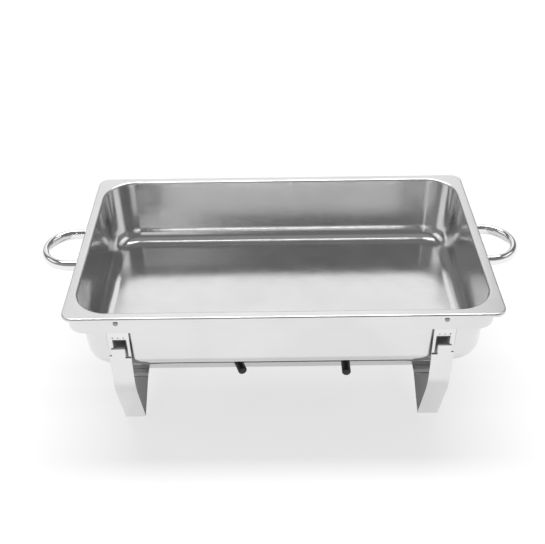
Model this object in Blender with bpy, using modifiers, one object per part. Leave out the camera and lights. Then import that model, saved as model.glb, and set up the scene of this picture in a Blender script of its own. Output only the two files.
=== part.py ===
"""Chafing dish: a full-size water pan that rests in a band on folding strip-steel legs, over a shelf
with two fuel burners.

Metres, +Z up. The origin is on the table, under the middle of the dish. +X runs along the dish
towards its right end, and -Y is the front. Depths called "drop" are measured down from the pan's rim.
"""

import math

import bmesh
import bpy
from mathutils import Matrix, Vector

# Driving sizes
RIM_LENGTH = 0.530
RIM_WIDTH = 0.325
RIM_HEIGHT = 0.2075
GAP = 0.0003  # left between pieces that touch

# Water pan, which lies a little to the right in its band
PAN_SHIFT_X = 0.0028
RIM_CORNER = 0.015
RIM_EDGE_ROUND = 0.0023
LIP_DROP = 0.0043
MOUTH_INSET = 0.0127
MOUTH_CORNER = 0.042
MOUTH_ROUND = 0.003
PAN_SHEET = 0.0008
PAN_FLOOR_DROP = 0.0947
WALL_DRAFT = math.radians(3)
FLOOR_ROUND = 0.020

# Band and its handles
BAND_INSET = 0.006
BAND_SHEET = 0.0010
BAND_DEPTH = 0.0255
BAND_CORNER = 0.024
BAND_TOP_DROP = PAN_SHEET + 0.0004
HANDLE_THICKNESS = 0.0105
HANDLE_HEIGHT = 0.0145
HANDLE_DROP = 0.013
HANDLE_HALF_SPACING = 0.0364
HANDLE_STRAIGHT = 0.0152
HANDLE_SCREW_RADIUS = 0.002
HANDLE_SCREW_BITE = 0.008

# Leg units, which fold on rivets through the band
LEG_X = 0.1977
LEG_WIDTH = 0.0265
LEG_SHEET = 0.0014
BRACKET_SHEET = 0.0012
PIVOT_DROP = 0.012
PIVOT_RADIUS = 0.0025
BRACKET_TOP_RADIUS = 0.0070
BRACKET_END_DROP = 0.088
WINDOW_TOP_DROP = 0.0385
WINDOW_END_DROP = 0.0533
OUTER_SHOULDER_DROP = 0.0634
INNER_SHOULDER_DROP = 0.067
DOT_DROP = 0.0355
DOT_SPACING = 0.0065
DOT_RADIUS = 0.0010
LEG_BEND_DROP = 0.1185
LEG_BEND_RADIUS = 0.090
LEG_SLANT = math.radians(22.5)
FOOT_ROUND = 0.003
TAB_START_Y = 0.069
TAB_END_Y = 0.040
CROSS_HALF_LENGTH = 0.0665

# Shelf
SHELF_HALF_LENGTH = 0.2125
SHELF_HALF_WIDTH = 0.052
SHELF_TOP_DROP = 0.172
SHELF_SHEET = 0.0010
SHELF_LIP_DROP = 0.1809
SHELF_END_LIP_DROP = 0.1845

# Burners
LEFT_BURNER_X = -0.082
RIGHT_BURNER_X = 0.088
LEFT_BURNER_TURN = math.radians(19)
CUP_RADIUS = 0.0450
CUP_HEIGHT = 0.034
CUP_SHEET = 0.0008
LID_SKIRT = 0.007
LID_SHEET = 0.0008
FLAME_HOLE_RADIUS = 0.018
DAMPER_RADIUS = 0.0215
DAMPER_SHEET = 0.0010
DAMPER_PIVOT = 0.032
DAMPER_PIN_RADIUS = 0.0018
STEM_HEIGHT = 0.017
STEM_RADIUS = 0.0045
STEM_FLANGE_RADIUS = 0.007
SPIGOT_RADIUS = 0.0025
GRIP_START = 0.066
GRIP_END = 0.094
GRIP_RADIUS = 0.006

# Levels and faces worked out from the sizes above
BAND_HALF_X = RIM_LENGTH / 2 - BAND_INSET
BAND_HALF_Y = RIM_WIDTH / 2 - BAND_INSET
BAND_INNER_Y = BAND_HALF_Y - BAND_SHEET
BRACKET_MID_Y = BAND_INNER_Y - GAP - BRACKET_SHEET / 2
LEG_MID_Y = BRACKET_MID_Y + BRACKET_SHEET / 2 + GAP + LEG_SHEET / 2
PIVOT_Z = RIM_HEIGHT - PIVOT_DROP
HANDLE_Z = RIM_HEIGHT - HANDLE_DROP
SHELF_LIP_Z = RIM_HEIGHT - SHELF_LIP_DROP
CROSS_TOP_Z = SHELF_LIP_Z - GAP
SHELF_TOP_Z = RIM_HEIGHT - SHELF_TOP_DROP
CUP_BASE_Z = SHELF_TOP_Z + GAP
SIDES = {"left": -1, "right": 1}
ENDS = {"front": -1, "rear": 1}
TURN_STEPS = 32
UPRIGHT = Matrix.Rotation(math.pi / 2, 4, "X")  # stands a flat outline up, its Y becoming Z


def clear_scene():
    for obj in list(bpy.data.objects):
        bpy.data.objects.remove(obj)


def new_collection(name):
    collection = bpy.data.collections.new(name)
    bpy.context.scene.collection.children.link(collection)
    return collection


def material(name, color, roughness, metallic):
    made = bpy.data.materials.new(name)
    made.use_nodes = True
    shader = made.node_tree.nodes["Principled BSDF"]
    shader.inputs["Base Color"].default_value = (*color, 1)
    shader.inputs["Roughness"].default_value = roughness
    shader.inputs["Metallic"].default_value = metallic
    return made


clear_scene()
PARTS = new_collection("chafing_dish")
CUTTERS = new_collection("cutters")
BAND_CUTTERS = new_collection("band_cutters")
SATIN_STEEL = material("satin_stainless", (0.78, 0.78, 0.77), 0.22, 1)
POLISHED_STEEL = material("polished_stainless", (0.82, 0.82, 0.82), 0.08, 1)
BLACK_PLASTIC = material("black_phenolic", (0.012, 0.012, 0.012), 0.4, 0)


def finish_object(name, data, look, collection=PARTS):
    obj = bpy.data.objects.new(name, data)
    collection.objects.link(obj)
    if look:
        data.materials.append(look)
    return obj


def mesh_object(name, bm, look, collection=PARTS):
    mesh = bpy.data.meshes.new(name)
    bm.to_mesh(mesh)
    bm.free()
    return finish_object(name, mesh, look, collection)


def shade_round(obj, angle=math.radians(35)):
    obj.data.shade_smooth()
    obj.data.set_sharp_from_angle(angle=angle)


def thicken(obj, thickness, offset):
    """offset -1 thickens away from the faces' normals, and 0 both ways."""
    solidify = obj.modifiers.new("sheet", "SOLIDIFY")
    solidify.thickness = thickness
    solidify.offset = offset
    solidify.use_even_offset = True


def cut(obj, cutter=None, collection=None):
    boolean = obj.modifiers.new("cut", "BOOLEAN")
    boolean.operation = "DIFFERENCE"
    if cutter:
        boolean.object = cutter
    else:
        boolean.operand_type = "COLLECTION"
        boolean.collection = collection


def cylinder_cutter(name, radius, length, matrix, collection=CUTTERS):
    bm = bmesh.new()
    bmesh.ops.create_cone(
        bm, cap_ends=True, segments=16, radius1=radius, radius2=radius, depth=length, matrix=matrix
    )
    cutter = mesh_object(name, bm, None, collection)
    cutter.hide_render = True
    cutter.display_type = "WIRE"
    return cutter


def rounded_ring(half_x, half_y, corner, z, steps=8):
    """Points round a rectangle with round corners, anticlockwise from above."""
    points = []
    for quarter, (sign_x, sign_y) in enumerate([(1, 1), (-1, 1), (-1, -1), (1, -1)]):
        for step in range(steps + 1):
            angle = math.pi / 2 * (quarter + step / steps)
            x = sign_x * (half_x - corner) + corner * math.cos(angle)
            y = sign_y * (half_y - corner) + corner * math.sin(angle)
            points.append((x, y, z))
    return points


def loft(name, rings, look, close_last=False):
    """An open surface through rings of equal length, its last ring closed by one face on request."""
    bm = bmesh.new()
    rows = [[bm.verts.new(point) for point in ring] for ring in rings]
    for upper, lower in zip(rows, rows[1:]):
        count = len(upper)
        for i in range(count):
            j = (i + 1) % count
            bm.faces.new([upper[i], upper[j], lower[j], lower[i]])
    if close_last:
        bm.faces.new(rows[-1])
    return mesh_object(name, bm, look)


def rounded_path(corners):
    """Points along a polyline of (a, b, radius) corners, each corner with a radius made an arc."""
    points = []
    for i, (a, b, radius) in enumerate(corners):
        here = Vector((a, b))
        if not radius:
            points.append(here)
            continue
        back = (Vector(corners[i - 1][:2]) - here).normalized()
        ahead = (Vector(corners[i + 1][:2]) - here).normalized()
        half = back.angle(ahead) / 2
        centre = here + (back + ahead).normalized() * radius / math.sin(half)
        start = here + back * radius / math.tan(half) - centre
        sweep = start.angle_signed(here + ahead * radius / math.tan(half) - centre)
        steps = max(3, round(abs(sweep) / math.radians(12)))
        for step in range(steps + 1):
            points.append(centre + Matrix.Rotation(-sweep * step / steps, 2) @ start)
    return points


def flat_outline(name, outlines, thickness, look):
    """A flat plate in XY from closed outlines, the first its edge and the others holes."""
    curve = bpy.data.curves.new(name, "CURVE")
    curve.dimensions = "2D"
    curve.fill_mode = "BOTH"
    curve.extrude = thickness / 2
    for outline in outlines:
        spline = curve.splines.new("POLY")
        spline.points.add(len(outline) - 1)
        for point, (x, y) in zip(spline.points, outline):
            point.co = (x, y, 0, 1)
        spline.use_cyclic_u = True
    return finish_object(name, curve, look)


def circle(x, y, radius, steps=16):
    turns = [2 * math.pi * step / steps for step in range(steps)]
    return [(x + radius * math.cos(turn), y + radius * math.sin(turn)) for turn in turns]


def turned(name, profile, look, closed=False, steps=TURN_STEPS):
    """A solid turned about Z from (radius, z) points that run down its outer side."""
    bm = bmesh.new()
    verts = [bm.verts.new((radius, 0, z)) for radius, z in profile]
    for first, second in zip(verts, verts[1:] + (verts[:1] if closed else [])):
        bm.edges.new([first, second])
    obj = mesh_object(name, bm, look)
    screw = obj.modifiers.new("turn", "SCREW")
    screw.steps = screw.render_steps = steps
    screw.use_merge_vertices = True
    screw.merge_threshold = 0.00005
    screw.use_smooth_shade = True
    return obj


# Water pan


def pan_sections():
    """(inset from the rim's edge, drop, corner radius) from the lip's edge to the floor's edge."""
    sections = [(0, LIP_DROP, RIM_CORNER)]
    for step in range(4):
        angle = math.pi / 2 * step / 3
        inset = RIM_EDGE_ROUND * (1 - math.cos(angle))
        sections.append((inset, RIM_EDGE_ROUND * (1 - math.sin(angle)), RIM_CORNER - inset))
    profile = []
    for step in range(5):
        angle = math.pi / 2 * step / 4
        inset = MOUTH_INSET - MOUTH_ROUND * (1 - math.sin(angle))
        profile.append((inset, MOUTH_ROUND * (1 - math.cos(angle))))
    round_drop = PAN_FLOOR_DROP - FLOOR_ROUND
    wall_end_drop = round_drop + FLOOR_ROUND * math.sin(WALL_DRAFT)
    round_inset = (
        MOUTH_INSET
        + (wall_end_drop - MOUTH_ROUND) * math.tan(WALL_DRAFT)
        + FLOOR_ROUND * math.cos(WALL_DRAFT)
    )
    for step in range(8):
        angle = WALL_DRAFT + (math.pi / 2 - WALL_DRAFT) * step / 7
        inset = round_inset - FLOOR_ROUND * math.cos(angle)
        profile.append((inset, round_drop + FLOOR_ROUND * math.sin(angle)))
    for inset, drop in profile:
        sections.append((inset, drop, MOUTH_CORNER - (inset - MOUTH_INSET)))
    return sections


def water_pan():
    rings = [
        rounded_ring(RIM_LENGTH / 2 - inset, RIM_WIDTH / 2 - inset, corner, RIM_HEIGHT - drop)
        for inset, drop, corner in pan_sections()
    ]
    pan = loft("water_pan", rings, SATIN_STEEL, close_last=True)
    pan.location.x = PAN_SHIFT_X
    thicken(pan, PAN_SHEET, -1)
    shade_round(pan)


# Band, handles and their screws


def band_cutters():
    for name, sign in SIDES.items():
        across = Matrix.Translation((sign * LEG_X, 0, PIVOT_Z)) @ UPRIGHT
        hole = PIVOT_RADIUS + GAP
        cylinder_cutter(f"{name}_pivot_hole", hole, RIM_WIDTH, across, BAND_CUTTERS)
    for name, sign in ENDS.items():
        place = Matrix.Translation((0, sign * HANDLE_HALF_SPACING, HANDLE_Z))
        along = place @ Matrix.Rotation(math.pi / 2, 4, "Y")
        hole = HANDLE_SCREW_RADIUS + GAP
        cylinder_cutter(f"{name}_handle_holes", hole, RIM_LENGTH, along, BAND_CUTTERS)


def band_strip(name, path, drilled):
    """One length of the band, from (x, y) points along its outer face that run anticlockwise."""
    top = RIM_HEIGHT - BAND_TOP_DROP
    bm = bmesh.new()
    low = [bm.verts.new((x, y, top - BAND_DEPTH)) for x, y in path]
    high = [bm.verts.new((x, y, top)) for x, y in path]
    for i in range(len(path) - 1):
        bm.faces.new([low[i], low[i + 1], high[i + 1], high[i]])
    strip = mesh_object(name, bm, SATIN_STEEL)
    thicken(strip, BAND_SHEET, -1)
    if drilled:
        cut(strip, collection=BAND_CUTTERS)
    shade_round(strip)


def rim_band():
    """The band as four rails and four corners, with a gap between their ends."""
    band_cutters()
    x, y = BAND_HALF_X, BAND_HALF_Y
    end_x, end_y = x - BAND_CORNER - GAP, y - BAND_CORNER - GAP
    band_strip("rim_band_right", [(x, -end_y), (x, end_y)], True)
    band_strip("rim_band_rear", [(end_x, y), (-end_x, y)], True)
    band_strip("rim_band_left", [(-x, end_y), (-x, -end_y)], True)
    band_strip("rim_band_front", [(-end_x, -y), (end_x, -y)], True)
    steps = 8
    ring = [point[:2] for point in rounded_ring(x, y, BAND_CORNER, 0, steps)]
    for number, corner in enumerate(("right_rear", "left_rear", "left_front", "right_front")):
        first = number * (steps + 1)
        band_strip(f"rim_band_{corner}", ring[first : first + steps + 1], False)


def handle_section():
    """The handle's oval section, as a curve for the route to carry."""
    curve = bpy.data.curves.new("handle_section", "CURVE")
    curve.dimensions = "2D"
    spline = curve.splines.new("POLY")
    outline = circle(0, 0, 0.5)
    spline.points.add(len(outline) - 1)
    for point, (x, y) in zip(spline.points, outline):
        point.co = (x * HANDLE_THICKNESS, y * HANDLE_HEIGHT, 0, 1)
    spline.use_cyclic_u = True
    section = finish_object("handle_section", curve, None, CUTTERS)
    section.hide_render = True
    return section


def handle(side, sign, section):
    """A bar bent into a D, made a mesh so that its ends can be drilled for the screws."""
    root = BAND_HALF_X + GAP
    bend_x = root + HANDLE_STRAIGHT
    route = [(root, -HANDLE_HALF_SPACING)]
    for step in range(13):
        angle = math.pi * (step / 12 - 0.5)
        across = HANDLE_HALF_SPACING * math.sin(angle)
        route.append((bend_x + HANDLE_HALF_SPACING * math.cos(angle), across))
    route.append((root, HANDLE_HALF_SPACING))
    curve = bpy.data.curves.new("handle_route", "CURVE")
    curve.dimensions = "3D"
    curve.bevel_mode = "OBJECT"
    curve.bevel_object = section
    curve.use_fill_caps = True
    spline = curve.splines.new("POLY")
    spline.points.add(len(route) - 1)
    for point, (x, y) in zip(spline.points, route):
        point.co = (sign * x, y, HANDLE_Z, 1)
    guide = finish_object("handle_route", curve, POLISHED_STEEL, CUTTERS)
    bpy.context.view_layer.update()
    mesh = bpy.data.meshes.new_from_object(guide.evaluated_get(bpy.context.evaluated_depsgraph_get()))
    bpy.data.objects.remove(guide)
    bm = bmesh.new()
    bm.from_mesh(mesh)
    bmesh.ops.remove_doubles(bm, verts=bm.verts, dist=0.00001)
    bmesh.ops.recalc_face_normals(bm, faces=bm.faces)
    bm.to_mesh(mesh)
    bm.free()
    rod = finish_object(f"{side}_handle", mesh, None)
    for end, end_sign in ENDS.items():
        depth = HANDLE_SCREW_BITE + GAP
        middle = (sign * (root + depth / 2 - GAP), end_sign * HANDLE_HALF_SPACING, HANDLE_Z)
        turn = Matrix.Rotation(math.pi / 2, 4, "Y")
        place = Matrix.Translation(middle) @ turn
        hole = HANDLE_SCREW_RADIUS + GAP
        cut(rod, cylinder_cutter(f"{side}_{end}_tapping", hole, depth + GAP, place))
    shade_round(rod)


def pin(name, look, head_radius, head, shank_radius, shank, tail_radius=0, tail=0):
    """A headed pin standing on Z: its head's underside at 0, its shank below, then a peened tail."""
    profile = [(0, head), (head_radius * 0.62, head * 0.86), (head_radius, head * 0.3)]
    profile += [(head_radius, 0), (shank_radius, 0), (shank_radius, -shank)]
    if tail:
        profile += [(tail_radius, -shank), (tail_radius, -shank - tail * 0.5)]
        profile += [(tail_radius * 0.6, -shank - tail)]
    profile.append((0, -shank - tail))
    return turned(name, profile, look, steps=20)


def handle_screws():
    """Each screw's head bears on the band's inside, and its shank runs out into the handle's end."""
    for side, sign in SIDES.items():
        for end, end_sign in ENDS.items():
            shank = BAND_SHEET + 2 * GAP + HANDLE_SCREW_BITE - GAP
            screw = pin(
                f"{side}_{end}_handle_screw", SATIN_STEEL, 0.0038, 0.0016, HANDLE_SCREW_RADIUS, shank
            )
            inner_x = BAND_HALF_X - BAND_SHEET - GAP
            screw.location = (sign * inner_x, end_sign * HANDLE_HALF_SPACING, HANDLE_Z)
            screw.rotation_euler = (0, -sign * math.pi / 2, 0)


# Leg units: bracket, leg and cross strip


def height(drop):
    return RIM_HEIGHT - drop


def bracket_outline():
    """The bracket's edge from the front, x running outwards: round top on the pivot, then the plate,
    with a notch in the outer edge below the window."""
    half = LEG_WIDTH / 2
    points = []
    for step in range(9):
        angle = math.pi * step / 8
        points.append(
            (BRACKET_TOP_RADIUS * math.cos(angle), PIVOT_Z + BRACKET_TOP_RADIUS * math.sin(angle))
        )
    foot = height(BRACKET_END_DROP)
    corner = 0.004
    points += [(-half, PIVOT_Z - 0.0085), (-half, foot + corner), (corner - half, foot)]
    points += [(half - corner, foot), (half, foot + corner)]
    notch_x = 0.0108
    points += [(half, height(0.064)), (notch_x, height(0.064))]
    points += [(notch_x, height(WINDOW_END_DROP)), (half, height(WINDOW_END_DROP))]
    points.append((half, PIVOT_Z - 0.0085))
    return points


def window_outline():
    """An L: a window above the leg's tongue, and a slot down the tongue's inner side."""
    inner, outer, slot_x = -0.0101, 0.0071, -0.0068
    top, end, slot_end = height(WINDOW_TOP_DROP), height(WINDOW_END_DROP), height(0.068)
    return [(outer, top), (inner, top), (inner, slot_end), (slot_x, slot_end), (slot_x, end), (outer, end)]


def bracket(side, sign, end, end_sign):
    outlines = [bracket_outline(), window_outline(), circle(0, PIVOT_Z, PIVOT_RADIUS + GAP)]
    for step in (-1, 0, 1):
        outlines.append(circle(step * DOT_SPACING, height(DOT_DROP), DOT_RADIUS, 8))
    outlines = [[(sign * x, z) for x, z in outline] for outline in outlines]
    plate = flat_outline(f"{side}_{end}_bracket", outlines, BRACKET_SHEET, SATIN_STEEL)
    plate.location = (sign * LEG_X, end_sign * BRACKET_MID_Y, 0)
    plate.rotation_euler = (math.pi / 2, 0, 0)


def foot_corner_z(slant_up, return_up):
    """The height of the foot's sharp corner that puts the underside of its bend on the table."""
    half = slant_up.angle(return_up) / 2
    bisector = (slant_up.normalized() + return_up.normalized()).normalized()
    return LEG_SHEET / 2 + FOOT_ROUND - bisector.y * FOOT_ROUND / math.sin(half)


def leg_path():
    """(distance from the middle plane, z) along the middle of the strip, and the row where each
    shoulder starts."""
    hook_z = height(WINDOW_END_DROP) + 0.0004 + LEG_SHEET / 2
    bend_z = height(LEG_BEND_DROP)
    tab_z = CROSS_TOP_Z - LEG_SHEET - GAP - LEG_SHEET / 2
    foot_y = LEG_MID_Y - bend_z * math.tan(LEG_SLANT)
    slant_up = Vector((LEG_MID_Y - foot_y, bend_z))
    return_up = Vector((TAB_START_Y - foot_y, tab_z))
    foot_z = foot_corner_z(slant_up, return_up)
    return rounded_path([
        (BRACKET_MID_Y - 0.0008, hook_z, 0),
        (LEG_MID_Y, hook_z, 0.0010),
        (LEG_MID_Y, height(OUTER_SHOULDER_DROP), 0),
        (LEG_MID_Y, height(INNER_SHOULDER_DROP), 0),
        (LEG_MID_Y, bend_z, LEG_BEND_RADIUS),
        (foot_y, foot_z, FOOT_ROUND),
        (TAB_START_Y, tab_z, 0.006),
        (TAB_END_Y, tab_z, 0),
    ])


def leg(side, sign, end, end_sign):
    """One bent strip. Its upper end is a tongue, off centre, whose hook passes through the window."""
    half = LEG_WIDTH / 2
    columns = [-half, -0.0063, 0.0068, 0.0100, half]
    rows = leg_path()
    bm = bmesh.new()
    grid = [
        [bm.verts.new((sign * (LEG_X + x), end_sign * y, z)) for x in columns] for y, z in rows
    ]
    for i in range(len(rows) - 1):
        middle_z = (rows[i][1] + rows[i + 1][1]) / 2
        middle_y = (rows[i][0] + rows[i + 1][0]) / 2
        on_hook = middle_z > height(WINDOW_END_DROP) and middle_y < LEG_MID_Y - 0.0001
        starts = [INNER_SHOULDER_DROP, 0, 0, OUTER_SHOULDER_DROP]
        for column, start_drop in enumerate(starts):
            if middle_z > height(start_drop) or (on_hook and column == 2):
                continue
            corners = [grid[i][column], grid[i][column + 1]]
            bm.faces.new(corners + [grid[i + 1][column + 1], grid[i + 1][column]])
    bmesh.ops.delete(bm, geom=[v for v in bm.verts if not v.link_faces], context="VERTS")
    strip = mesh_object(f"{side}_{end}_leg", bm, SATIN_STEEL)
    thicken(strip, LEG_SHEET, 0)
    shade_round(strip)


def cross_strip(side, sign):
    bm = bmesh.new()
    size = (LEG_WIDTH, 2 * CROSS_HALF_LENGTH, LEG_SHEET)
    middle = (sign * LEG_X, 0, CROSS_TOP_Z - LEG_SHEET / 2)
    matrix = Matrix.LocRotScale(Vector(middle), None, Vector(size))
    bmesh.ops.create_cube(bm, size=1, matrix=matrix)
    mesh_object(f"{side}_cross_strip", bm, SATIN_STEEL)


def pivot_rivet(side, sign, end, end_sign):
    shank = BAND_HALF_Y + GAP - (BRACKET_MID_Y - BRACKET_SHEET / 2 - GAP)
    rivet = pin(
        f"{side}_{end}_pivot_rivet", POLISHED_STEEL, 0.0036, 0.0018, PIVOT_RADIUS, shank, 0.0036, 0.0010
    )
    rivet.location = (sign * LEG_X, end_sign * (BAND_HALF_Y + GAP), PIVOT_Z)
    rivet.rotation_euler = (-end_sign * math.pi / 2, 0, 0)


def leg_units():
    for side, sign in SIDES.items():
        for end, end_sign in ENDS.items():
            bracket(side, sign, end, end_sign)
            leg(side, sign, end, end_sign)
            pivot_rivet(side, sign, end, end_sign)
        cross_strip(side, sign)


# Shelf


def fuel_shelf():
    """A plate with its four edges turned down, the corners cut open, and deeper lips at the ends
    that stand outside the cross strips."""
    relief = 0.0012
    x, y = SHELF_HALF_LENGTH, SHELF_HALF_WIDTH
    bm = bmesh.new()
    top = [bm.verts.new((sx * x, sy * y, SHELF_TOP_Z)) for sx, sy in [(1, 1), (-1, 1), (-1, -1), (1, -1)]]
    bm.faces.new(top)
    lips = [(0, SHELF_LIP_Z, (-relief, 0)), (1, height(SHELF_END_LIP_DROP), (0, -relief))]
    for i in range(4):
        _, low_z, (trim_x, trim_y) = lips[i % 2]
        first, second = top[i], top[(i + 1) % 4]
        low = []
        for corner in (first, second):
            sx, sy = math.copysign(1, corner.co.x), math.copysign(1, corner.co.y)
            low.append(bm.verts.new((corner.co.x + sx * trim_x, corner.co.y + sy * trim_y, low_z)))
        bm.faces.new([second, first, low[0], low[1]])
    shelf = mesh_object("fuel_shelf", bm, SATIN_STEEL)
    thicken(shelf, SHELF_SHEET, -1)


# Burners


def cup_profile():
    """Inside floor, inside wall, rolled edge, outside wall, base."""
    inner = CUP_RADIUS - CUP_SHEET
    base_round = 0.004
    profile = [(0, CUP_SHEET), (inner - base_round, CUP_SHEET), (inner - 0.0012, CUP_SHEET + 0.0012)]
    profile += [(inner, CUP_SHEET + base_round), (inner, CUP_HEIGHT)]
    profile += [(CUP_RADIUS, CUP_HEIGHT), (CUP_RADIUS, base_round)]
    profile += [(CUP_RADIUS - 0.0012, 0.0012), (CUP_RADIUS - base_round, 0), (0, 0)]
    return profile


def lid_profile():
    outer = CUP_RADIUS + GAP + LID_SHEET
    top = CUP_HEIGHT + GAP + LID_SHEET
    under = top - LID_SHEET
    foot = top - LID_SKIRT
    return [
        (FLAME_HOLE_RADIUS, top), (outer - 0.0012, top), (outer, top - 0.0012), (outer, foot),
        (outer - LID_SHEET, foot), (outer - LID_SHEET, under), (FLAME_HOLE_RADIUS, under),
    ]


def damper_plate(name, level):
    """A disc with an arm to its pivot behind it, and a finger tab turned up at the front."""
    tab_half, tab_rise = 0.006, 0.0045
    bm = bmesh.new()
    tab_angle = math.asin(tab_half / DAMPER_RADIUS)
    arm_angle = math.acos(0.0065 / DAMPER_RADIUS)
    start, end = -math.pi / 2 + tab_angle, arm_angle
    outline = []
    for step in range(11):
        angle = start + (end - start) * step / 10
        outline.append((DAMPER_RADIUS * math.cos(angle), DAMPER_RADIUS * math.sin(angle)))
    for step in range(1, 8):
        angle = math.pi * step / 8
        outline.append((0.0065 * math.cos(angle), DAMPER_PIVOT + 0.0065 * math.sin(angle)))
    outline += [(-x, y) for x, y in reversed(outline[:11])]
    verts = [bm.verts.new((x, y, level)) for x, y in outline]
    bm.faces.new(verts)
    first, last = verts[0], verts[-1]
    raised = [bm.verts.new(v.co + Vector((0, -0.001, tab_rise))) for v in (first, last)]
    bm.faces.new([first, last, raised[1], raised[0]])
    bmesh.ops.recalc_face_normals(bm, faces=bm.faces)
    plate = mesh_object(name, bm, POLISHED_STEEL)
    thicken(plate, DAMPER_SHEET, 0)
    return plate


def stem_profile():
    """The metal stem from the cup's wall, with a spigot up the middle of the grip. Z runs outwards."""
    root = CUP_RADIUS + GAP
    return [
        (0, GRIP_END - 0.007), (SPIGOT_RADIUS, GRIP_END - 0.007), (SPIGOT_RADIUS, GRIP_START - GAP),
        (STEM_RADIUS, GRIP_START - GAP), (STEM_RADIUS, root + 0.0015),
        (STEM_FLANGE_RADIUS, root + 0.0015), (STEM_FLANGE_RADIUS, root), (0, root),
    ]


def grip_profile():
    """A round grip with a groove near its root and a domed end, bored for the spigot."""
    bore = SPIGOT_RADIUS + GAP
    groove = GRIP_START + 0.0105
    return [
        (0, GRIP_END - 0.006), (bore, GRIP_END - 0.006), (bore, GRIP_START),
        (GRIP_RADIUS - 0.0006, GRIP_START), (GRIP_RADIUS, GRIP_START + 0.0006),
        (GRIP_RADIUS, groove - 0.0006), (GRIP_RADIUS - 0.0006, groove),
        (GRIP_RADIUS, groove + 0.0006), (GRIP_RADIUS, GRIP_END - 0.0025),
        (GRIP_RADIUS * 0.85, GRIP_END - 0.0008), (GRIP_RADIUS * 0.5, GRIP_END), (0, GRIP_END),
    ]


def burner(side, centre_x, turn):
    """All of one burner about an empty on its own axis, turned so that the grip points forwards."""
    centre = bpy.data.objects.new(f"{side}_burner_axis", None)
    PARTS.objects.link(centre)
    centre.location = (centre_x, 0, CUP_BASE_Z)
    centre.rotation_euler = (0, 0, turn)
    cup = turned(f"{side}_burner_cup", cup_profile(), POLISHED_STEEL)
    lid = turned(f"{side}_burner_lid", lid_profile(), POLISHED_STEEL, closed=True)
    lid_top = CUP_HEIGHT + GAP + LID_SHEET
    level = lid_top + GAP + DAMPER_SHEET / 2
    plate = damper_plate(f"{side}_damper", level)
    pin_top = level + DAMPER_SHEET / 2 + GAP
    shank = pin_top - (lid_top - LID_SHEET - GAP)
    rivet = pin(
        f"{side}_damper_rivet", POLISHED_STEEL, 0.0032, 0.0014, DAMPER_PIN_RADIUS, shank, 0.003, 0.0008
    )
    rivet.location = (0, DAMPER_PIVOT, pin_top)
    hole = Matrix.Translation((0, DAMPER_PIVOT, lid_top))
    cutter = cylinder_cutter(f"{side}_damper_hole", DAMPER_PIN_RADIUS + GAP, 0.01, hole)
    cut(lid, cutter)
    cut(plate, cutter)
    stem = turned(f"{side}_burner_stem", stem_profile(), POLISHED_STEEL, steps=20)
    grip = turned(f"{side}_burner_grip", grip_profile()[::-1], BLACK_PLASTIC, steps=24)
    for piece in (stem, grip):
        piece.location = (0, 0, STEM_HEIGHT)
        piece.rotation_euler = (math.pi / 2, 0, 0)
    for piece in (cup, lid, plate, rivet, stem, grip, cutter):
        piece.parent = centre


water_pan()
rim_band()
oval = handle_section()
for side_name, side_sign in SIDES.items():
    handle(side_name, side_sign, oval)
handle_screws()
leg_units()
fuel_shelf()
burner("left", LEFT_BURNER_X, LEFT_BURNER_TURN)
burner("right", RIGHT_BURNER_X, 0)
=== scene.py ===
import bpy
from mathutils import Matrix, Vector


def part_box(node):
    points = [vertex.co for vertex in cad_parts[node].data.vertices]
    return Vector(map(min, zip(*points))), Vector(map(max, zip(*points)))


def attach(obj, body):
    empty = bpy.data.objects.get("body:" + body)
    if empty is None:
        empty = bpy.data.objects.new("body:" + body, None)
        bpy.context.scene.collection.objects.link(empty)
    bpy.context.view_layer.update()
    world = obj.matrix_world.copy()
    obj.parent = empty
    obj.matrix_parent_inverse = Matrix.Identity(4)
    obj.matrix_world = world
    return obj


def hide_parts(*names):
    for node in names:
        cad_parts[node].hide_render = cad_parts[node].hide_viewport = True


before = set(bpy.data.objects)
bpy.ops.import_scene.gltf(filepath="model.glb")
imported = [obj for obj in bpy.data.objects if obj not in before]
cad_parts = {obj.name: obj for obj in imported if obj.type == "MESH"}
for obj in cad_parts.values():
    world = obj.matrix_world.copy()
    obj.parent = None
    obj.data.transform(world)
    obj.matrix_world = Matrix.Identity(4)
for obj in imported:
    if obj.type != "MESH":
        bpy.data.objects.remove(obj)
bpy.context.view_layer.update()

import math

import bmesh
import bpy
from mathutils import Matrix, Vector

# Sizes in metres, as in the CAD. Depths called "drop" are measured down from the pan's rim.
RIM_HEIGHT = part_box("water_pan")[1].z
PAN_X = (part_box("water_pan")[0].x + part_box("water_pan")[1].x) / 2
RIM_LENGTH = 0.530
RIM_WIDTH = 0.325
GAP = 0.0003
RIM_CORNER = 0.015
RIM_EDGE_ROUND = 0.0023
LIP_DROP = 0.0043
MOUTH_INSET = 0.0127
MOUTH_CORNER = 0.042
MOUTH_ROUND = 0.003
PAN_SHEET = 0.0008
PAN_FLOOR_DROP = 0.0947
WALL_DRAFT = math.radians(3)
FLOOR_ROUND = 0.020
BAND_INSET = 0.006
BAND_SHEET = 0.0010
BAND_DEPTH = 0.0255
BAND_CORNER = 0.024
BAND_TOP_DROP = PAN_SHEET + 0.0004
HANDLE_THICKNESS = 0.0105
HANDLE_HEIGHT = 0.0145
HANDLE_DROP = 0.013
HANDLE_HALF_SPACING = 0.0364
HANDLE_STRAIGHT = 0.0152
HANDLE_SCREW_RADIUS = 0.002
HANDLE_SCREW_BITE = 0.008
LEG_X = 0.1977
LEG_WIDTH = 0.0265
LEG_SHEET = 0.0014
BRACKET_SHEET = 0.0012
PIVOT_DROP = 0.012
PIVOT_RADIUS = 0.0025
PIVOT_HEAD, PIVOT_TAIL = (0.0030, 0.0014), (0.0036, 0.0010)  # radius and height
BRACKET_TOP_RADIUS = 0.0070
BRACKET_END_DROP = 0.088
WINDOW_TOP_DROP = 0.0385
WINDOW_END_DROP = 0.0533
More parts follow.
